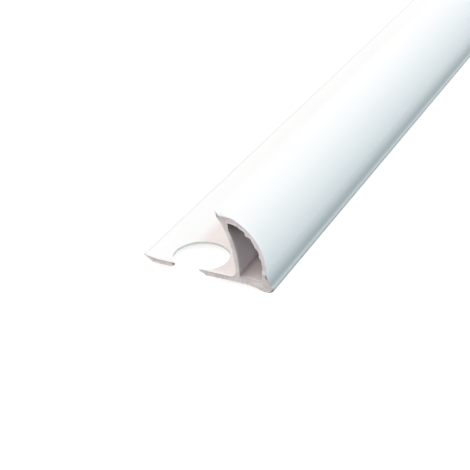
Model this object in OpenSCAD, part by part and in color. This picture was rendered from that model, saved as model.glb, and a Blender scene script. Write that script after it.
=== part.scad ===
// Quarter-round corner guard: a closed tile-edge trim, extruded in rigid white plastic.
// The section lies in X and Z and runs along Y. Its own zero is where the flange's
// underside meets the chamber side of the web. The whole strip is then moved so that
// the origin is midway along it, midway across it, and level with the bead's lowest line.

/* [Stock] */
// Length that the strip is sold in
strip_l = 2500; // [100:10:3000]

/* [Flange] */
// Width from the flange's free edge to the chamber side of the web
flange_w = 17.35; // [16.5:0.05:30]
// Thickness of the flange
flange_t = 0.85; // [0.6:0.05:1.1]
// Width of the band along the free edge that curls up
curl_w = 3.4; // [1:0.1:3.4]
// Height that the free edge curls up by
curl_rise = 0.45; // [0.1:0.05:0.8]
// Width of the bevel under the free edge
bevel_w = 1.5; // [0.4:0.1:2.4]
// Thickness left at the free edge
edge_t = 0.15; // [0.1:0.05:0.4]

/* [Perforations] */
// Diameter of each hole in the flange
hole_d = 9.3; // [4:0.1:9.6]
// Distance from the chamber side of the web to the row of holes
hole_in = 8.75; // [8:0.05:9.05]
// Spacing of the holes along the strip
hole_pitch = 19; // [12:0.5:40]
// Distance from the near cut end to the first hole's centre, so that the cut crosses it
hole_first = 3.95; // [0:0.05:12]
// Least plastic left between the last hole and the far end
hole_end = 2; // [1:0.5:10]

/* [Web] */
// Thickness of the web, which stops the tile
web_t = 0.7; // [0.5:0.05:1.2]
// Radius that the web's chamber side is bent to, so that its top leans over the flange
web_r = 18.75; // [16:0.25:60]
// Radius of the fillet where the web stands on the flange
foot_r = 1; // [0.2:0.1:1.5]

/* [Nose] */
// Height from the flange's underside to the top of the nose
trim_h = 12; // [11:0.1:14]
// Radius of the nose's rounded face
nose_r = 9.2; // [8.6:0.1:10]
// Reach of the nose's rounded face past the chamber side of the web
nose_out = 4.75; // [3.8:0.05:6]
// Thickness of the nose's wall
nose_t = 0.95; // [0.6:0.05:1.3]
// Height of the solid plastic at the tip, above the chamber
tip_solid = 1.75; // [1.4:0.05:3]
// Thickness of the chamber's floor
floor_t = 1.15; // [1.1:0.05:1.6]

/* [Bead] */
// Radius of the rounded bead along the nose's lower edge
bead_r = 0.95; // [0.8:0.05:1.4]
// Reach of the bead past the nose's rounded face
bead_out = 1.15; // [0.9:0.05:1.6]
// Drop of the bead's lowest line below the flange's underside
bead_drop = 0.75; // [0.2:0.05:0.9]
// Radius of the hollow sweep from the nose down to the bead
flare_r = 2; // [1:0.1:6]
// Radius of the hollow sweep from the underside down to the bead
under_r = 3; // [1:0.1:4]

/* [Hidden] */
$fn = 96;
// Overshoot of a cutter past what it cuts
past = 1;
// Longest step along a curve of the section, in degrees
arc_step = 3;
// Number of straight steps that the curl is drawn in
curl_steps = 8;
plastic = [0.94, 0.95, 0.95];

web_c = [-web_r, floor_t];
web_left_r = web_r - web_t;
nose_c = [nose_out - nose_r, trim_h - nose_r];
nose_in_r = nose_r - nose_t;
bead_c = [nose_out + bead_out - bead_r, bead_r - bead_drop];
section_mid = (nose_out + bead_out - flange_w) / 2;

curl_x = curl_w - flange_w;
// Share of the curl's width that the bevel leaves
bevel_from = max(1 - bevel_w / curl_w, 0);

// Centre of the fillet that touches the flange's top and the web
foot_c = [
    web_c.x + sqrt(pow(web_left_r - foot_r, 2) - pow(flange_t + foot_r - floor_t, 2)),
    flange_t + foot_r
];
// Centre of the sweep that touches the underside and the bead
under_c = [bead_c.x - sqrt(pow(bead_r + under_r, 2) - pow(bead_c.y + under_r, 2)), -under_r];
// Centre of the sweep that touches the nose and the bead
flare_c = apart_from(nose_c, nose_r + flare_r, bead_c, bead_r + flare_r);
// The sharp tip, where the web's left face meets the nose
tip = apart_from(web_c, web_left_r, nose_c, nose_r);
chamber_top = trim_h - tip_solid;

holes_n = 1 + floor((strip_l - hole_first - hole_d / 2 - hole_end) / hole_pitch);

// The point that lies from_a away from a and from_b away from b, to the left of the line a to b
function apart_from(a, from_a, b, from_b) =
    let (gap = norm(b - a),
         along = (b - a) / gap,
         run = (from_a * from_a - from_b * from_b + gap * gap) / (2 * gap))
    a + along * run + [-along.y, along.x] * sqrt(from_a * from_a - run * run);

// The direction from a to b, in degrees
function aim(a, b) = atan2(b.y - a.y, b.x - a.x);

// The turn from one direction to another, to the left, in degrees
function left_turn(from, to) = to - from - 360 * floor((to - from) / 360);

// Points along an arc, all but its last, which the next piece of the outline begins with
function arc(centre, radius, from, sweep) =
    let (steps = ceil(abs(sweep) / arc_step))
    [for (i = [0 : steps - 1])
        centre + radius * [cos(from + sweep * i / steps), sin(from + sweep * i / steps)]];

// The same between two directions, turning left along a hollow and right along a bulge
function hollow(centre, radius, from, to) = arc(centre, radius, from, left_turn(from, to));
function bulge(centre, radius, from, to) = arc(centre, radius, from, -left_turn(to, from));

// A point on the curl's underside, a share of the way from the flat to the free edge
function on_curl(share) = [curl_x - share * curl_w, curl_rise * share * share];

// The free edge of the flange, which curls up and is bevelled underneath to a thin edge
function free_edge() = concat(
    [for (i = [0 : curl_steps]) on_curl(bevel_from * i / curl_steps)],
    [on_curl(1) + [0, flange_t - edge_t]],
    [for (i = [curl_steps : -1 : 0]) on_curl(i / curl_steps) + [0, flange_t]]
);

// The outline with the chamber still full: up the web, over the tip, down the nose, round the
// bead and back along the underside to the free edge and the flange's top
module full_section() {
    polygon(concat(
        hollow(web_c, web_left_r, aim(web_c, foot_c), aim(web_c, tip)),
        bulge(nose_c, nose_r, aim(nose_c, tip), aim(nose_c, flare_c)),
        hollow(flare_c, flare_r, aim(flare_c, nose_c), aim(flare_c, bead_c)),
        bulge(bead_c, bead_r, aim(bead_c, flare_c), aim(bead_c, under_c)),
        hollow(under_c, under_r, aim(under_c, bead_c), 90),
        [[under_c.x, 0]],
        free_edge(),
        hollow(foot_c, foot_r, -90, aim(web_c, foot_c))
    ));
}

// The hollow between the web, the nose and the floor
module chamber_section() {
    web_top = asin((chamber_top - web_c.y) / web_r);
    nose_top = asin((chamber_top - nose_c.y) / nose_in_r);
    polygon(concat(
        hollow(web_c, web_r, 0, web_top),
        [web_c + web_r * [cos(web_top), sin(web_top)]],
        bulge(nose_c, nose_in_r, nose_top, 0),
        [nose_c + [nose_in_r, 0], [nose_c.x + nose_in_r, floor_t]]
    ));
}

module trim_section() {
    difference() {
        full_section();
        chamber_section();
    }
}

// One piece of stock, with its row of holes through the flange
module edge_trim() {
    color(plastic)
    translate([-section_mid, 0, bead_drop])
    difference() {
        translate([0, strip_l / 2, 0])
            rotate([90, 0, 0])
            linear_extrude(height = strip_l)
            trim_section();
        for (i = [0 : holes_n - 1])
            translate([-hole_in, hole_first - strip_l / 2 + i * hole_pitch, -past])
            cylinder(d = hole_d, h = flange_t + 2 * past);
    }
}

edge_trim();
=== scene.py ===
import math
import random
import bmesh
import bpy
from mathutils import Matrix, Vector, noise
from mathutils.geometry import delaunay_2d_cdt


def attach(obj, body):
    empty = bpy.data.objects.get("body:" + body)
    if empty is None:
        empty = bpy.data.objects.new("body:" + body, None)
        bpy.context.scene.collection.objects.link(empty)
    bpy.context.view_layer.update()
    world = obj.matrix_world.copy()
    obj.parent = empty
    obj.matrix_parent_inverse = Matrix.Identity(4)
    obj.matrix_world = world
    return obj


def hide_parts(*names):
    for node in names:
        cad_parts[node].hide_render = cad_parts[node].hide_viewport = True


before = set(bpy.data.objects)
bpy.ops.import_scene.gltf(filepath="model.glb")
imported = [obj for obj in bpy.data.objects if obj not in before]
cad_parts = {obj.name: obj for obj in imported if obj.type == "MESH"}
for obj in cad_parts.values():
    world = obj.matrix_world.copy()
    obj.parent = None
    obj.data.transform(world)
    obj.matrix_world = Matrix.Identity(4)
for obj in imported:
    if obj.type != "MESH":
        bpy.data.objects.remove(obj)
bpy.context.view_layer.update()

# The stock. Hard white plastic, pushed through a die as one endless section: a thin flange
# that goes under the tile, a web that the tile's edge stops at, and a hollow quarter-round
# nose that ends in a bead.
STRIP = 2500.0
FLANGE_W, FLANGE_T = 17.35, 0.85
CURL_W, CURL_RISE, BEVEL_W, EDGE_T = 3.4, 0.45, 1.5, 0.15
WEB_R, WEB_T, FOOT_R = 18.75, 0.7, 1.0
TRIM_H, NOSE_R, NOSE_OUT, NOSE_T = 12.0, 9.2, 4.75, 0.95
TIP_SOLID, FLOOR_T = 1.75, 1.15
BEAD_R, BEAD_OUT, BEAD_DROP = 0.95, 1.15, 0.75
FLARE_R, UNDER_R = 2.0, 3.0
MIDDLE = (NOSE_OUT + BEAD_OUT - FLANGE_W) / 2


def place(x, y, z):
    """A place in the frame, in metres. All lengths here are in millimetres: x runs across from
    the web's inner face, y from the near end, and z up from the flange's underside."""
    return Vector(((x - MIDDLE) / 1000, (y - STRIP / 2) / 1000, (z + BEAD_DROP) / 1000))


def meeting(a, from_a, b, from_b):
    """The point from_a away from a and from_b away from b, to the left of the line a to b."""
    gap = (b - a).length
    along = (b - a) / gap
    run = (from_a ** 2 - from_b ** 2 + gap ** 2) / (2 * gap)
    return a + along * run + Vector((-along.y, along.x)) * math.sqrt(from_a ** 2 - run ** 2)


def bend(centre, radius, start, sweep, step):
    """Points along an arc, from a direction and through a sweep in degrees, all but its last."""
    steps = max(1, math.ceil(abs(sweep) / step))
    turns = [math.radians(start + sweep * i / steps) for i in range(steps)]
    return [centre + radius * Vector((math.cos(t), math.sin(t))) for t in turns]


def left_about(centre, radius, start, end, step):
    """The same between two directions, turning left."""
    return bend(centre, radius, start, (end - start) % 360, step)


def right_about(centre, radius, start, end, step):
    """The same between two directions, turning right."""
    return bend(centre, radius, start, -((start - end) % 360), step)


def aim(a, b):
    """The direction from a to b, in degrees."""
    return math.degrees(math.atan2(b.y - a.y, b.x - a.x))


web_c = Vector((-WEB_R, FLOOR_T))
web_left_r = WEB_R - WEB_T
nose_c = Vector((NOSE_OUT - NOSE_R, TRIM_H - NOSE_R))
nose_in_r = NOSE_R - NOSE_T
bead_c = Vector((NOSE_OUT + BEAD_OUT - BEAD_R, BEAD_R - BEAD_DROP))
under_fall = bead_c.y + UNDER_R
under_c = Vector((bead_c.x - math.sqrt((BEAD_R + UNDER_R) ** 2 - under_fall ** 2), -UNDER_R))
flare_c = meeting(nose_c, NOSE_R + FLARE_R, bead_c, BEAD_R + FLARE_R)
tip = meeting(web_c, web_left_r, nose_c, NOSE_R)
foot_z = FLANGE_T + FOOT_R
foot_x = web_c.x + math.sqrt((web_left_r - FOOT_R) ** 2 - (foot_z - FLOOR_T) ** 2)
foot_c = Vector((foot_x, foot_z))
curl_x = CURL_W - FLANGE_W


def on_curl(share):
    """A point on the curl's underside, a share of the way from the flat to the free edge."""
    return Vector((curl_x - share * CURL_W, CURL_RISE * share ** 2))


def joined(runs):
    """One loop from runs of points, and the name of the run that each point is from."""
    points = [point for name, run in runs for point in run]
    names = [name for name, run in runs for point in run]
    return points, names


# The outline, clockwise. Each run ends where the next begins, and an arc's last number is the
# longest step along it, in degrees. The two bands are the flange's flat faces, which the holes
# go through. The floor's two extra points let the burr under the thick corner die away.
LIP_LEAN = 0.02
lift = Vector((0, FLANGE_T))
curl_low = [on_curl((1 - BEVEL_W / CURL_W) * i / 6) for i in range(7)]
curl_top = [on_curl(1 - i / 8) + lift for i in range(8)]
lip = on_curl(1) + lift
lip_round = [lip + Vector((LIP_LEAN, -EDGE_T))]
lip_round += [lip + Vector((0, -EDGE_T * share)) for share in (0.7, 0.3)]
outline, outline_run = joined([
    ("web", left_about(web_c, web_left_r, aim(web_c, foot_c), aim(web_c, tip), 1.2)),
    ("nose", right_about(nose_c, NOSE_R, aim(nose_c, tip), aim(nose_c, flare_c), 1.5)),
    ("flare", left_about(flare_c, FLARE_R, aim(flare_c, nose_c), aim(flare_c, bead_c), 2.5)),
    ("bead", right_about(bead_c, BEAD_R, aim(bead_c, flare_c), aim(bead_c, under_c), 5)),
    ("under", left_about(under_c, UNDER_R, aim(under_c, bead_c), 90, 4)),
    ("floor", [Vector((x, 0)) for x in (under_c.x, 2.2, 1.7)]),
    ("band_low", [Vector((foot_c.x, 0))]),
    ("curl", curl_low + lip_round + curl_top),
    ("band_top", [Vector((curl_x, FLANGE_T))]),
    ("foot", left_about(foot_c, FOOT_R, -90, aim(web_c, foot_c), 9)),
])

# The chamber, clockwise too, from its lower corner at the web.
chamber_top = TRIM_H - TIP_SOLID
web_top = math.degrees(math.asin((chamber_top - web_c.y) / WEB_R))
nose_top = math.degrees(math.asin((chamber_top - nose_c.y) / nose_in_r))
crest_turn = math.radians(web_top)
side_top = nose_c + Vector((nose_in_r, 0))
side_low = Vector((nose_c.x + nose_in_r, FLOOR_T))
chamber, chamber_run = joined([
    ("inner_web", left_about(web_c, WEB_R, 0, web_top, 1.2)),
    ("crest", [web_c + WEB_R * Vector((math.cos(crest_turn), math.sin(crest_turn)))]),
    ("inner_nose", right_about(nose_c, nose_in_r, nose_top, 0, 1.5)),
    ("side", [side_top - Vector((0, (nose_c.y - FLOOR_T) * i / 4)) for i in range(4)]),
    ("chamber_floor", [side_low + (Vector((0, FLOOR_T)) - side_low) * i / 6 for i in range(6)]),
])

# The holes. A press punches one row through the flange, at an even pitch, so that the
# adhesive can key through. The punch rolls the rim over a little, shears the upper half clean
# and breaks the lower half out, which leaves it ragged and wider.
HOLE_IN, HOLE_R, HOLE_PITCH, HOLE_FIRST, HOLE_END = 8.75, 4.65, 19.0, 3.95, 2.0
HOLES = 1 + math.floor((STRIP - HOLE_FIRST - HOLE_R - HOLE_END) / HOLE_PITCH)
# Each ring of a wall: how much wider than the punch it is, and how far below the top.
RIM_RINGS = [(0.03, 0.0), (0.01, 0.02), (0.0, 0.06), (0.0, 0.24)]
RIM_RINGS += [(0.04, 0.42), (0.16, 0.66), (0.3, 0.85)]
# Past its smooth rings a wall is rough, and more so further down.
SMOOTH_RINGS = 2
ROUGH, ROUGH_MORE = 0.02, 0.25
# The near end cuts the first hole open and leaves a stub on each side of it, one by the web
# and one at the free edge. The saw pulled both towards the free edge: so far at the top, and
# so much less or more at the bottom. It bent the first one down and the second one up.
WEB_PULL, WEB_PULL_LESS, WEB_DROOP = 0.95, 0.15, 0.14
FREE_PULL, FREE_PULL_MORE, FREE_LIFT = 0.32, 0.5, 0.1
# How far in from the end that pull reaches, and how far all other damage does.
PULL_REACH, CUT_REACH = 0.9, 0.42


def rim(k, ring, sides):
    """One ring of the wall of hole k, from the rolled rim at ring 0 down to the ragged one.
    Those of the first hole run from the stub by the web round to the other one."""
    wider, depth = RIM_RINGS[ring]
    radius = HOLE_R + wider
    down = depth / FLANGE_T
    if k:
        angles = [2 * math.pi * i / sides for i in range(sides)]
    else:
        start = -math.asin(HOLE_FIRST / radius)
        angles = [start + (math.pi - 2 * start) * i / sides for i in range(sides + 1)]
    points = []
    for i, angle in enumerate(angles):
        rough, lifted = 0.0, 0.0
        if ring >= SMOOTH_RINGS:
            key = Vector((k * 7.3 + 3 * math.cos(angle), 3 * math.sin(angle), 0.4 * depth))
            rough = (ROUGH + ROUGH_MORE * depth) * noise.noise(key * 1.9)
        x = -HOLE_IN + (radius + rough) * math.cos(angle)
        y = HOLE_FIRST + k * HOLE_PITCH + (radius + rough) * math.sin(angle)
        if not k and y < PULL_REACH:
            fade = max(0.0, 1 - max(y, 0.0) / CUT_REACH)
            if i < sides / 2:
                pull = WEB_PULL - WEB_PULL_LESS * down ** 3
                lifted = -WEB_DROOP * fade * down
            else:
                pull = FREE_PULL + FREE_PULL_MORE * down ** 2
                lifted = FREE_LIFT * fade
            x -= pull * (1 - max(y, 0.0) / PULL_REACH) ** 2
        if not k and i in (0, sides):
            y = 0.0
        points.append((x, y, FLANGE_T - depth + lifted))
    return points


# The sawn ends. The bar is cut to length with a coarse blade, which leaves a torn face with
# fine chatter, bites out of the hollow's thin wall, a burr under the thick corner, and broken
# edges, the bead's corner and the sharp tip most of all.
# Where the rings of vertices beside the two cuts are.
NEAR = [0.0, 0.04, 0.1, 0.18, 0.28, 0.42, 0.62, 1.0, 1.6, 2.6, 4.4, 8.0]
FAR = [STRIP - inward for inward in (8.0, 2.0, 0.5, 0.2, 0.05, 0.0)]
# How far a cut's edges stand back from it, and how far its face does: by an even depth, by the
# ridges that the blade's teeth left, and by a fine grain. The face has two dents, and a lump
# whose depth is below nothing: an x, a z, a size and a depth each.
EDGE_BACK = 0.02
FACE_BACK, RIDGES, GRAIN = 0.1, 0.022, 0.03
DENTS = [(4.15, 2.62, 0.26, -0.1), (4.75, 2.05, 0.2, 0.3), (-12.05, 0.6, 0.22, 0.26)]
# How far the outline's edges are broken back.
BROKEN = {"nose": 0.12, "flare": 0.1, "bead": 0.27, "under": 0.06, "web": 0.05, "foot": 0.03}
BROKEN_ELSE = 0.04
# Above TIP_FOOT the tip is pushed out over the flange and torn off at TIP_X, with a lean. The
# nose is chipped just beyond it.
TIP_FOOT, TIP_X, TIP_LEAN = 11.0, -3.86, 0.5
TIP_PUSH, TIP_PUSH_SIZE = 0.2, 0.65
CHIP_DROP, CHIP_START, CHIP_END = 0.7, 0.55, 2.5
# The burr hangs a little under the whole cut, and further under the thick corner.
DROOP, CORNER_DROOP, CORNER_X, CORNER_SIZE = 0.08, 0.32, 3.45, 1.15
# How deep the saw bites into each wall of the hollow: evenly, in long swings, and finely.
BITTEN = {
    "inner_web": (0.02, 0.0, 0.05),
    "crest": (0.02, 0.0, 0.05),
    "inner_nose": (0.05, 0.26, 0.04),
    "side": (0.05, 0.12, 0.0),
    "chamber_floor": (0.0, 0.0, 0.02)}
# Where it bites deeper or less deep into the nose's wall: a direction about the nose's centre,
# and by how much.
BITES = [(61.0, -0.14), (55.0, 0.07), (47.0, -0.17), (37.0, 0.05), (32.0, -0.17), (26.5, 0.15)]
BITES += [(10.0, 0.12)]
BITE_SIZE = 2.4
# The top of the web's inner face is pushed towards the nose, from a height and over a span.
CLOSED, CLOSED_RISE, CLOSED_FROM, CLOSED_SPAN = 0.46, 0.12, 9.0, 1.25


def hill(distance, size):
    """1 at a distance of nothing, falling smoothly away on both sides."""
    return math.exp(-(distance / size) ** 2)


def outward(loop, i):
    """The direction out of a clockwise loop: off the plastic, or from the hollow into it."""
    before = (loop[i] - loop[i - 1]).normalized()
    after = (loop[(i + 1) % len(loop)] - loop[i]).normalized()
    along = (before + after).normalized()
    return Vector((-along.y, along.x))


def chatter(x, z):
    """How far the sawn face stands back from the cut at a point of the section."""
    wander = 1.4 * noise.noise(Vector((x * 0.6, z * 0.6, 0.3)))
    ridge = math.sin(8.5 * (0.9 * x + 0.45 * z) + wander)
    fine = noise.noise(Vector((x * 2.3, z * 2.3, 4.0)))
    back = FACE_BACK + RIDGES * ridge + GRAIN * fine
    for dent_x, dent_z, size, depth in DENTS:
        back += depth * hill(math.hypot(x - dent_x, z - dent_z), size)
    return max(back, 0.0)


def bite(run, point):
    """How deep the saw bites into the plastic at the hollow's mouth."""
    along = point.x * 0.55 - point.y
    wander = 0.9 * noise.noise(Vector((along * 0.8, 2.0, 0.0)))
    swing = abs(math.sin(2.15 * along + wander))
    fine = noise.noise(Vector((along * 3.1, 5.0, 0.0)))
    if run == "inner_nose":
        swing = (1 - swing) ** 0.7
    even, swung, grained = BITTEN[run]
    depth = even + swung * swing + grained * fine
    if run == "inner_nose":
        for middle, deeper in BITES:
            depth += deeper * hill(aim(nose_c, point) - middle, BITE_SIZE)
    return depth


def bitten(point, run, out, inward):
    """A point of the hollow's wall beside a cut, moved by the saw."""
    x, z = point
    fade = 1 - inward / CUT_REACH
    into = bite(run, point) * fade ** 1.5
    x += out.x * into
    z += out.y * into
    if run in ("crest", "inner_web"):
        x += CLOSED * fade * max(0.0, (point.y - CLOSED_FROM) / CLOSED_SPAN) ** 1.5
    if run == "crest":
        z += CLOSED_RISE * fade
    return x, z


def broken_back(point, run, out, inward):
    """A point of the outline beside a cut, broken back or dragged out of line."""
    x, z = point
    fade = 1 - inward / CUT_REACH
    broken = BROKEN.get(run, BROKEN_ELSE)
    ragged = 1 + 0.7 * noise.noise(Vector((x * 1.3, z * 1.3, 9.0)))
    worn = broken * ragged * max(0.0, 1 - inward / (1.4 * broken)) ** 2
    x -= out.x * worn
    z -= out.y * worn
    if run == "web":
        x -= TIP_PUSH * fade * hill(point.y - TIP_FOOT, TIP_PUSH_SIZE)
    past_tip = point.x - TIP_X
    if run == "nose" and 0 < past_tip < CHIP_END:
        z -= CHIP_DROP * fade * min(1.0, past_tip / CHIP_START) * (1 - past_tip / CHIP_END)
    if point.y > TIP_FOOT:
        x = max(x, TIP_X - TIP_LEAN * (1 - fade))
    if run in ("under", "floor", "band_low") or point.y < 0:
        droop = DROOP + CORNER_DROOP * hill(point.x - CORNER_X, CORNER_SIZE)
        z = max(z - fade * droop, -BEAD_DROP)
    if run in ("curl", "band_top") and point.x < -HOLE_IN:
        z += FREE_LIFT * fade
    return x, z


def ring_at(loop, loop_run, y):
    """A loop's points at a distance from the near end, with the damage beside a cut."""
    inward = min(y, STRIP - y)
    if inward == 0:
        y += EDGE_BACK if y == 0 else -EDGE_BACK
    ring = []
    for i, (point, run) in enumerate(zip(loop, loop_run)):
        x, z = point
        if inward < CUT_REACH:
            damaged = bitten if loop is chamber else broken_back
            x, z = damaged(point, run, outward(loop, i), inward)
        ring.append((x, y, z))
    return ring


# The bar. The punched and sawn stock is one piece of plastic, so it is one mesh: its outside
# and its chamber as walls from station to station, its flange filled in round the holes, and
# a face of many small facets at each end. Each face has one of four finishes.
SKIN, SAWN, PUNCHED, HOLLOW = 0, 1, 2, 3
# The bitten edge of the nose's wall has the sawn finish too, as far in as this.
TORN_IN = 0.12
# The stations are close together at the cuts, and between them is one halfway from each hole
# to the next.
between = [HOLE_FIRST + HOLE_PITCH * (k + 0.5) for k in range(HOLES - 1)]
stations = NEAR + between + [y for y in FAR if y > between[-1]]
body = bmesh.new()


def walled(loop, loop_run, finish):
    """Makes the walls along a loop, without the flange's flat bands, and gives their vertices,
    one row for each station."""
    rows = []
    for y in stations:
        rows.append([body.verts.new(place(*spot)) for spot in ring_at(loop, loop_run, y)])
    for row, after, y in zip(rows, rows[1:], stations[1:]):
        for i, run in enumerate(loop_run):
            if run in ("band_low", "band_top"):
                continue
            j = (i + 1) % len(loop)
            face = body.faces.new((row[i], row[j], after[j], after[i]))
            torn_edge = run == "inner_nose" and y <= TORN_IN
            face.material_index = SAWN if torn_edge else finish
    return rows


def within(loop, point):
    """Whether a point of the plane is inside a loop."""
    hit = False
    for i, a in enumerate(loop):
        b = loop[i - 1]
        if (a[1] > point[1]) != (b[1] > point[1]):
            if point[0] < a[0] + (b[0] - a[0]) * (point[1] - a[1]) / (b[1] - a[1]):
                hit = not hit
    return hit


def in_region(loops, point):
    """Whether a point of the plane is inside the first loop and outside the others."""
    return within(loops[0], point) and not any(within(loop, point) for loop in loops[1:])


def fill(borders, flats, finish, extra=(), raised=None):
    """Fills a region with triangles. Its borders' vertices are used as they are, and flats has
    their places in the plane; the extra points in it become vertices where raised puts them."""
    verts = [vert for border in borders for vert in border]
    points = [Vector(spot) for flat in flats for spot in flat] + [Vector(spot) for spot in extra]
    edges = []
    start = 0
    for flat in flats:
        edges += [(start + i, start + (i + 1) % len(flat)) for i in range(len(flat))]
        start += len(flat)
    spots, _, triangles, origins, _, _ = delaunay_2d_cdt(points, edges, [], 0, 1e-9)
    made = []
    for spot, origin in zip(spots, origins):
        known = [n for n in origin if n < len(verts)]
        made.append(verts[known[0]] if known else body.verts.new(raised(spot.x, spot.y)))
    for triangle in triangles:
        if in_region(flats, sum((spots[n] for n in triangle), Vector((0, 0))) / 3):
            face = body.faces.new([made[n] for n in triangle])
            face.material_index = finish


def from_above(verts):
    """Where vertices are in x and y."""
    return [(v.co.x * 1000 + MIDDLE, v.co.y * 1000 + STRIP / 2) for v in verts]


def from_the_end(verts):
    """Where vertices are in x and z."""
    return [(v.co.x * 1000 + MIDDLE, v.co.z * 1000 - BEAD_DROP) for v in verts]


outer = walled(outline, outline_run, SKIN)
inner = walled(chamber, chamber_run, HOLLOW)
low_foot, low_curl = outline_run.index("band_low"), outline_run.index("curl")
top_curl, top_foot = outline_run.index("band_top"), outline_run.index("foot")
# How many sides a hole has: all up to the first number, then all up to the next.
SIDES = [(3, 96), (14, 56), (HOLES, 40)]
for k in range(HOLES):
    sides = next(number for below, number in SIDES if k < below)
    rims = [rim(k, ring, sides) for ring in range(len(RIM_RINGS))]
    rings = [[body.verts.new(place(*spot)) for spot in spots] for spots in rims]
    if k == 0:
        first_rings = rings
    for ring in range(len(rings) - 1):
        high, low = rings[ring], rings[ring + 1]
        for i in range(sides):
            j = (i + 1) % len(high)
            face = body.faces.new((high[i], low[i], low[j], high[j]))
            face.material_index = PUNCHED if ring else SKIN
    first = 0 if k == 0 else stations.index(between[k - 1])
    last = stations.index(between[k]) if k < HOLES - 1 else len(stations) - 1
    for ring, left, right in ((0, top_curl, top_foot), (-1, low_curl, low_foot)):
        span = outer[first:last + 1]
        border = [row[left] for row in span] + [row[right] for row in reversed(span)]
        circle = [(x, y) for x, y, z in rims[ring]]
        if k:
            fill([border, rings[ring]], [from_above(border), circle], SKIN)
        else:
            fill([border + rings[ring]], [from_above(border) + circle], SKIN)

NEAR_SPACING, FAR_SPACING = 0.22, 0.4
UNRULY, CLEAR = 0.3, 0.45
steady = random.Random(7)


def sprinkled(flats, spacing):
    """Even but unruly points inside a sawn face, clear of its edges."""
    xs = [x for x, z in flats[0]]
    zs = [z for x, z in flats[0]]
    edge_spots = [spot for flat in flats for spot in flat]
    points = []
    z = min(zs)
    while z < max(zs):
        x = min(xs)
        while x < max(xs):
            aside = steady.uniform(-UNRULY, UNRULY)
            above = steady.uniform(-UNRULY, UNRULY)
            spot = (x + aside * spacing, z + above * spacing)
            clear = all(math.dist(spot, edge) > spacing * CLEAR for edge in edge_spots)
            if clear and in_region(flats, spot):
                points.append(spot)
            x += spacing
        z += spacing
    return points


# The near end's face is in two pieces, because the first hole is cut open there.
stub = outer[0][low_curl:top_curl + 1] + [ring[-1] for ring in first_rings]
main = outer[0][top_foot:] + outer[0][:low_foot + 1] + [ring[0] for ring in reversed(first_rings)]
for borders in ([stub], [main, inner[0]]):
    flats = [from_the_end(border) for border in borders]
    extra = sprinkled(flats, NEAR_SPACING)
    fill(borders, flats, SAWN, extra, lambda x, z: place(x, chatter(x, z), z))
borders = [outer[-1], inner[-1]]
flats = [from_the_end(border) for border in borders]
extra = sprinkled(flats, FAR_SPACING)
fill(borders, flats, SAWN, extra, lambda x, z: place(x, STRIP - chatter(x, z), z))

# An edge that turns by more degrees than this is crisp, and all others are shaded smooth.
CRISP = 32
bmesh.ops.recalc_face_normals(body, faces=body.faces)
mesh = bpy.data.meshes.new("corner_trim")
body.to_mesh(mesh)
body.free()
mesh.polygons.foreach_set("use_smooth", [True] * len(mesh.polygons))
mesh.set_sharp_from_angle(angle=math.radians(CRISP))
trim = bpy.data.objects.new("corner_trim", mesh)
bpy.context.scene.collection.objects.link(trim)

# The skin is as it left the die: satin white, with faint lines along its length. Round the bead
# it is greyed with painted shade, with painted shadow lines along the bead's lowest edge and the
# flange's free edge, and painted light in the web's foot and by the near cut. How strong each is
# is fitted to the shading in the photograph.


class Wire:
    """A socket of a finish, so that sums on it read as sums."""

    def __init__(self, finish, socket):
        self.finish = finish
        self.socket = socket

    def worked(self, operation, a, b):
        """What a Math node makes of two values."""
        return self.finish.node("Math", {"operation": operation}, {0: a, 1: b})

    def __add__(self, other):
        return self.worked("ADD", self, other)

    def __sub__(self, other):
        return self.worked("SUBTRACT", self, other)

    def __rsub__(self, other):
        return self.worked("SUBTRACT", other, self)

    def __mul__(self, other):
        return self.worked("MULTIPLY", self, other)

    __radd__ = __add__
    __rmul__ = __mul__


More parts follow.
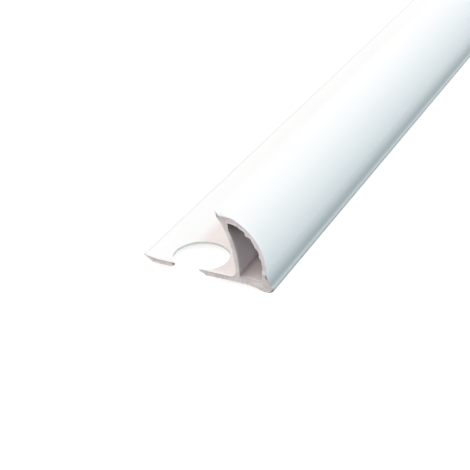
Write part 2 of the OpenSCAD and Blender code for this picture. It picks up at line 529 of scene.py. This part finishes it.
class Finish:
    """The nodes of a material or of the world, built one at a time."""

    def __init__(self, owner):
        owner.use_nodes = True
        self.owner = owner
        self.tree = owner.node_tree
        self.tree.nodes.clear()

    def node(self, kind, settings=None, inputs=None, output=0):
        """Adds a node by its type: its settings first, then its sockets' values or links."""
        made = self.tree.nodes.new("ShaderNode" + kind)
        for name, value in (settings or {}).items():
            if name == "stops":
                ramp = made.color_ramp
                while len(ramp.elements) < len(value):
                    ramp.elements.new(0.5)
                for element, (position, colour) in zip(ramp.elements, value):
                    element.position = position
                    element.color = colour
            else:
                setattr(made, name, value)
        for name, value in (inputs or {}).items():
            if isinstance(value, Wire):
                self.tree.links.new(value.socket, made.inputs[name])
            else:
                made.inputs[name].default_value = value
        return Wire(self, made.outputs[output]) if made.outputs else None

    def grain(self, scale, size=1.0, detail=3.0, roughness=0.55):
        """Noise over the object in millimetres, with a factor for each axis."""
        where = self.node("TexCoord", output="Object")
        scaled = {"Vector": where, "Scale": [1000 * factor for factor in scale]}
        stretched = self.node("Mapping", {}, scaled)
        return self.node("TexNoise", {}, {
            "Vector": stretched, "Scale": size, "Detail": detail, "Roughness": roughness})

    def along(self, axis):
        """How far along an axis of the frame, in millimetres."""
        where = self.node("TexCoord", output="Object")
        return self.node("SeparateXYZ", {}, {"Vector": where}, axis) * 1000

    def across(self):
        """How far across the section, from the web's inner face."""
        return self.along("X") + MIDDLE

    def height(self):
        """The height above the bead's lowest line."""
        return self.along("Z")

    def inward(self):
        """How far in from the near end."""
        return self.along("Y") + STRIP / 2

    def away(self, x, z):
        """The distance from a point of the section, in millimetres."""
        where = self.node("TexCoord", output="Object")
        flat = self.node("VectorMath", {"operation": "MULTIPLY"}, {0: where, 1: (1000, 0, 1000)})
        centre = (x - MIDDLE, 0, z + BEAD_DROP)
        return self.node("VectorMath", {"operation": "DISTANCE"}, {0: flat, 1: centre}, 1)

    def ramp(self, value, stops):
        """A value that changes evenly between stops, each a position and its height."""
        low, high = stops[0][0], stops[-1][0]
        share = (value - low) * (1 / (high - low))
        steps = [((at - low) / (high - low), (height, height, height, 1)) for at, height in stops]
        return self.node("ValToRGB", {"stops": steps}, {"Fac": share})

    def spot(self, x, z, size):
        """1 at a point of the section, falling to 0 at a distance in millimetres."""
        return self.ramp(self.away(x, z), [(size * 0.4, 1.0), (size, 0.0)])

    def blend(self, factor, a, b):
        """A colour between two; a Mix node keeps its colours in sockets 6 and 7, out at 2."""
        return self.node("Mix", {"data_type": "RGBA"}, {0: factor, 6: a, 7: b}, 2)

    def layered(self, colour, layers):
        """A colour with others laid over it in turn, each through its mask."""
        for mask, over in layers:
            colour = self.blend(mask, colour, over)
        return colour

    def bumped(self, strength, distance, height):
        """The surface's direction over a relief, whose depth is in millimetres."""
        relief = {"Strength": strength, "Distance": distance / 1000, "Height": height}
        return self.node("Bump", {}, relief)

    def looked_at(self):
        """1 for what the camera sees, straight, in a shine or through something clear."""
        camera_ray = self.node("LightPath", output="Is Camera Ray")
        shine = self.node("LightPath", output="Is Glossy Ray")
        through = self.node("LightPath", output="Is Transmission Ray")
        return camera_ray + shine + through

    def close(self, shader, kind="OutputMaterial"):
        """Ends the nodes with their output, and gives back the material or the world."""
        self.node(kind, {}, {"Surface": shader})
        return self.owner


skin = Finish(bpy.data.materials.new("satin_white"))
lines = skin.grain((2.6, 0.004, 2.6), 1.0, 4.0)
cloud = skin.grain((0.12, 0.03, 0.12), 1.0, 2.0)
fleck = skin.grain((1.0, 1.0, 1.0), 2.4, 2.0)
# Painted highlight on the skin just beside the near end's cut.
painted_cut_highlight = skin.ramp(skin.inward(), [(0.3, 0.5), (1.4, 0.0)])
on_nose = skin.ramp(skin.across(), [(4.175, 0.0), (4.675, 1.0)])
# Painted shade on the nose, greyer towards the bead, set by height.
painted_bead_shade = on_nose * skin.ramp(skin.height(), [
    (0.0, 0.9), (0.4, 0.9), (0.48, 0.66), (0.82, 0.66), (0.95, 0.63), (1.08, 0.54), (1.21, 0.48),
    (1.32, 0.49), (1.45, 0.66), (1.56, 0.85), (1.66, 0.95), (1.8, 0.97), (1.95, 0.9), (2.29, 0.72),
    (2.48, 0.61), (2.87, 0.37), (3.08, 0.245), (3.29, 0.155), (3.55, 0.08), (4.3, 0.0)])
# Painted shadow along the bead's lowest edge, weaker close to the near end.
painted_shadow_line = skin.ramp(skin.height(), [(0.15, 0.0), (0.4, 1.0), (0.68, 0.95), (0.92, 0.0)])
painted_shadow_line = on_nose * painted_shadow_line * skin.ramp(skin.inward(), [(0.1, 0.55), (0.8, 1.0)])
# Painted light in the web's foot, lifting the shade there.
painted_foot_light = skin.ramp(skin.away(-1.6, 0.9), [(0.6, 1.0), (2.6, 0.0)])
# Painted shadow line along the flange's free edge.
painted_edge_shadow = skin.ramp(skin.across(), [(0.025 - FLANGE_W, 1.0), (0.525 - FLANGE_W, 0.0)])
white = skin.blend(cloud, (0.90, 0.91, 0.92, 1), (0.95, 0.955, 0.95, 1))
white = skin.layered(white, [
    (lines * 0.25, (0.88, 0.89, 0.90, 1)),
    (painted_cut_highlight, (0.98, 0.93, 0.97, 1)),
    (painted_bead_shade, (0.34, 0.385, 0.395, 1)),
    (painted_shadow_line, (0.1, 0.105, 0.11, 1)),
    (painted_foot_light, (1.0, 0.97, 0.955, 1)),
    (painted_edge_shadow, (0.8, 0.8, 0.79, 1))])
skin_material = skin.close(skin.node("BsdfPrincipled", {}, {
    "Base Color": white,
    "Roughness": 0.34 + lines * 0.1 + cloud * 0.06,
    "Normal": skin.bumped(0.12, 0.04, lines + fleck * 0.3),
    "IOR": 1.52}))

# The sawn faces are torn and chalky, and a little pink, with arcs of the blade's teeth across
# them. How pale or dull each part of them is follows the photograph.
sawn = Finish(bpy.data.materials.new("sawn_face"))
tear = sawn.grain((1.0, 1.0, 1.0), 1.7, 5.0, 0.65)
arcs = sawn.grain((2.2, 0.5, 0.5), 1.0, 3.0)
patch = sawn.grain((0.45, 0.45, 0.45), 1.0, 2.0)
chalky = sawn.ramp(tear, [(0.3, 0.0), (0.7, 1.0)])
scored = sawn.ramp(arcs, [(0.4, 0.0), (0.62, 0.5)])
rubbed = sawn.ramp(patch, [(0.5, 0.0), (0.62, 0.45)])
# The outer half of the nose's wall is paler, and the bead's part is darker.
pale_rim = sawn.ramp(sawn.away(*nose_c), [(8.45, 0.0), (8.85, 0.7), (9.02, 0.7), (9.15, 0.0)])
by_height = sawn.ramp(sawn.height(), [(3.0, 0.0), (5.0, 1.0), (10.0, 1.0), (11.0, 0.2)])
darker_bead = sawn.spot(4.9, 0.4, 1.3) * 0.35
# The near end's own marks: a paler corner and a darker patch at the tip, a painted highlight on
# the lump, and painted shade in the dents and along the edges under the corner and beside the tip.
near_end = sawn.ramp(sawn.inward(), [(1.0, 1.0), (3.0, 0.0)])
pale_corner = sawn.spot(2.8, 0.9, 1.5) * 0.6
darker_tip = sawn.spot(-2.8, 10.9, 1.1) * 0.5
# Painted highlight on the burr lump.
painted_lump_highlight = sawn.spot(4.12, 2.72, 0.5)
# Painted shade in the two dents.
painted_dent_shade = sawn.spot(4.8, 2.02, 0.55) + sawn.spot(-12.0, 0.55, 0.34) * 0.6
# Painted shade along the face's edge under the corner.
painted_under_shade = sawn.ramp(sawn.away(*under_c), [(UNDER_R - 0.15, 0.5), (UNDER_R + 0.2, 0.0)])
# Painted shadow beside the tip, near the top.
painted_tip_shadow = sawn.ramp(sawn.away(*web_c), [(web_left_r + 0.1, 0.6), (web_left_r + 0.4, 0.0)])
painted_tip_shadow = painted_tip_shadow * sawn.ramp(sawn.height(), [(11.1, 0.0), (12.0, 1.0)])
torn = sawn.blend(chalky, (0.86, 0.72, 0.70, 1), (1.0, 0.91, 0.89, 1))
torn = sawn.layered(torn, [
    (scored, (0.66, 0.57, 0.565, 1)),
    (rubbed, (0.94, 0.92, 0.91, 1)),
    (pale_rim * by_height, (1.0, 0.97, 1.0, 1)),
    (darker_bead, (0.55, 0.53, 0.52, 1)),
    (near_end * pale_corner, (1.0, 0.93, 0.91, 1)),
    (near_end * darker_tip, (0.72, 0.63, 0.63, 1)),
    (near_end * painted_lump_highlight, (1.0, 0.98, 0.95, 1)),
    (near_end * painted_dent_shade, (0.2, 0.17, 0.17, 1)),
    (near_end * painted_under_shade, (0.52, 0.48, 0.48, 1)),
    (near_end * painted_tip_shadow, (0.42, 0.42, 0.4, 1))])
sawn_material = sawn.close(sawn.node("BsdfPrincipled", {}, {
    "Base Color": torn,
    "Roughness": 0.72 + tear * 0.2,
    "Normal": sawn.bumped(0.5, 0.12, tear + arcs * 0.5)}))

# The punched walls are sheared smooth above and torn below, with streaks straight through the
# flange. Their lower half gives off light of its own, in place of the light that the white
# ground seems to throw on it in the photograph.
punched = Finish(bpy.data.materials.new("punched_wall"))
streak = punched.grain((2.4, 2.4, 0.25), 1.0, 3.0)
lower = punched.ramp(punched.height(), [(BEAD_DROP + 0.36, 1.0), (BEAD_DROP + 0.46, 0.0)])
streaks_and_painted_light = punched.blend(streak, (0.88, 0.89, 0.86, 1), (1.0, 1.0, 0.97, 1))
# Painted light: the lower half's colour is lighter, besides its glow.
streaks_and_painted_light = punched.blend(lower, streaks_and_painted_light, (1.0, 1.0, 0.98, 1))
bounce = punched.blend(lower, (0, 0, 0, 1), (0.42, 0.4, 0.39, 1))
punched_material = punched.close(punched.node("BsdfPrincipled", {}, {
    "Base Color": streaks_and_painted_light,
    "Roughness": 0.5 + streak * 0.2,
    "Normal": punched.bumped(0.4, 0.06, streak),
    "Emission Color": bounce,
    "Emission Strength": 1.0}))

# The hollow's walls slid over the die's core, and are duller. Their darker grey is painted shade,
# lighter deeper in as painted light, with more painted shade under the crest and in the lower
# corner, and painted light on the floor near the cut, all fitted to the photograph.
hollow = Finish(bpy.data.materials.new("hollow_wall"))
drag = hollow.grain((1.2, 0.02, 1.2), 1.0, 4.0)
# Painted light: the hollow's colour is lighter deeper in.
painted_deep_light = hollow.ramp(hollow.inward(), [(0.4, 0.0), (5.0, 1.0)])
# Painted shade, darker towards the crest.
painted_crest_shade = hollow.ramp(hollow.height(), [(7.6, 0.0), (10.2, 0.85)])
# Painted shade in the corner between the web and the floor.
painted_corner_shade = hollow.spot(0, FLOOR_T, 0.8) * 0.4
low_z = BEAD_DROP + FLOOR_T
# Painted light on the hollow's floor near the cut, less of it close to the web.
painted_floor_light = hollow.ramp(hollow.inward(), [
    (0.0, 0.8), (0.6, 0.9), (1.8, 0.9), (4.5, 0.55), (9.0, 0.2), (20.0, 0.0)])
painted_floor_light = painted_floor_light * hollow.ramp(hollow.across(), [(0.2, 0.1), (1.2, 0.6), (2.4, 1.0)])
painted_floor_light = painted_floor_light * hollow.ramp(hollow.height(), [(low_z + 0.05, 1.0), (low_z + 0.5, 0.0)])
# The hollow's darker base grey is painted shade.
hollow_painted_shading = hollow.blend(drag, (0.53, 0.47, 0.47, 1), (0.63, 0.57, 0.57, 1))
hollow_painted_shading = hollow.layered(hollow_painted_shading, [
    (painted_deep_light, (0.94, 0.89, 0.92, 1)),
    (painted_crest_shade, (0.3, 0.25, 0.25, 1)),
    (painted_corner_shade, (0.4, 0.36, 0.37, 1)),
    (painted_floor_light, (0.99, 0.965, 0.97, 1))])
hollow_material = hollow.close(hollow.node("BsdfPrincipled", {}, {
    "Base Color": hollow_painted_shading,
    "Roughness": 0.6 + drag * 0.2,
    "Normal": hollow.bumped(0.3, 0.08, drag)}))

for material in (skin_material, sawn_material, punched_material, hollow_material):
    mesh.materials.append(material)
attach(trim, "root")
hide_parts("edge_trim")

# The studio. A pale paper floor that the camera sees as white, a cool lamp high on the right, a
# weaker and softer warm one in front, and a room that is warm above and cool below. The tints
# and strengths are fitted to the photograph.
FLOOR_HALF = 9
FLOOR_MATT, FLOOR_PAPER, FLOOR_GLOW = (0.34, 0.39, 0.41, 1), (0.3, 0.3, 0.3, 1), 0.85
ROOM_BELOW, ROOM_ABOVE, ROOM_LIGHT = (0.196, 0.347, 0.408, 1), (1.0, 0.775, 0.702, 1), 1.304
WHITE = (1, 1, 1, 1)
scene = bpy.context.scene
corners = [(-FLOOR_HALF, -FLOOR_HALF, 0), (FLOOR_HALF, -FLOOR_HALF, 0)]
corners += [(FLOOR_HALF, FLOOR_HALF, 0), (-FLOOR_HALF, FLOOR_HALF, 0)]
floor_mesh = bpy.data.meshes.new("floor")
floor_mesh.from_pydata(corners, [], [(0, 1, 2, 3)])
floor = bpy.data.objects.new("floor", floor_mesh)
scene.collection.objects.link(floor)
pale = Finish(bpy.data.materials.new("pale_floor"))
matt = pale.node("BsdfDiffuse", {}, {"Color": FLOOR_MATT})
paper = pale.node("BsdfDiffuse", {}, {"Color": FLOOR_PAPER})
glow = pale.node("Emission", {}, {"Color": WHITE, "Strength": FLOOR_GLOW})
lit = pale.node("AddShader", {}, {0: paper, 1: glow})
floor_mesh.materials.append(pale.close(pale.node("MixShader", {}, {
    0: pale.looked_at(), 1: matt, 2: lit})))


def lamp(name, toward, strength, spread, colour):
    """A far, wide lamp, given by the direction that it stands in from the object."""
    light = bpy.data.lights.new(name, "SUN")
    light.energy = strength
    light.angle = math.radians(spread)
    light.color = colour
    held = bpy.data.objects.new(name, light)
    held.rotation_euler = Vector(toward).to_track_quat("Z", "Y").to_euler()
    scene.collection.objects.link(held)


lamp("side", (0.62, -0.1, 1.0), 0.735, 8, (0.28, 0.83, 1.0))
lamp("front", (0.1, -1.0, 0.8), 0.46, 30, (1.0, 0.913, 0.837))
world = Finish(bpy.data.worlds.new("room"))
upward = world.node("SeparateXYZ", {}, {"Vector": world.node("TexCoord", output="Generated")}, 2)
room = world.blend(upward, ROOM_BELOW, ROOM_ABOVE)
room_light = world.node("Background", {}, {"Color": room, "Strength": ROOM_LIGHT})
backdrop = world.node("Background", {}, {"Color": WHITE, "Strength": 1.0})
scene.world = world.close(world.node("MixShader", {}, {
    0: world.looked_at(), 1: room_light, 2: backdrop}), "OutputWorld")

# The camera, as the photograph was taken: close to the sawn end, looking down the bar. Its
# place and lens were fitted to the photograph. PICTURE is the side of the square picture in
# pixels, and FOCAL and the centre of the view are in pixels too.
PICTURE, FOCAL, CENTRE_U, CENTRE_V = 470, 1260.782, 291.564, 225.544
turn, rise, distance = math.radians(23.395), math.radians(29.099), 0.21646
back = Vector((math.sin(turn) * math.cos(rise), -math.cos(turn) * math.cos(rise), math.sin(rise)))
right = Vector((0, 0, 1)).cross(back).normalized()
up = back.cross(right)
stand = place(0.25, 20.32, 0) + back * distance
lens = bpy.data.cameras.new("camera")
lens.sensor_width = 36
lens.lens = FOCAL / PICTURE * lens.sensor_width
lens.shift_x = ((PICTURE - 1) / 2 - CENTRE_U) / PICTURE
lens.shift_y = (CENTRE_V - (PICTURE - 1) / 2) / PICTURE
lens.clip_start = 0.01
lens.clip_end = 60
camera = bpy.data.objects.new("camera", lens)
camera.matrix_world = Matrix((
    (right.x, up.x, back.x, stand.x),
    (right.y, up.y, back.y, stand.y),
    (right.z, up.z, back.z, stand.z),
    (0, 0, 0, 1)))
scene.collection.objects.link(camera)
scene.camera = camera
scene.view_settings.view_transform = "Standard"
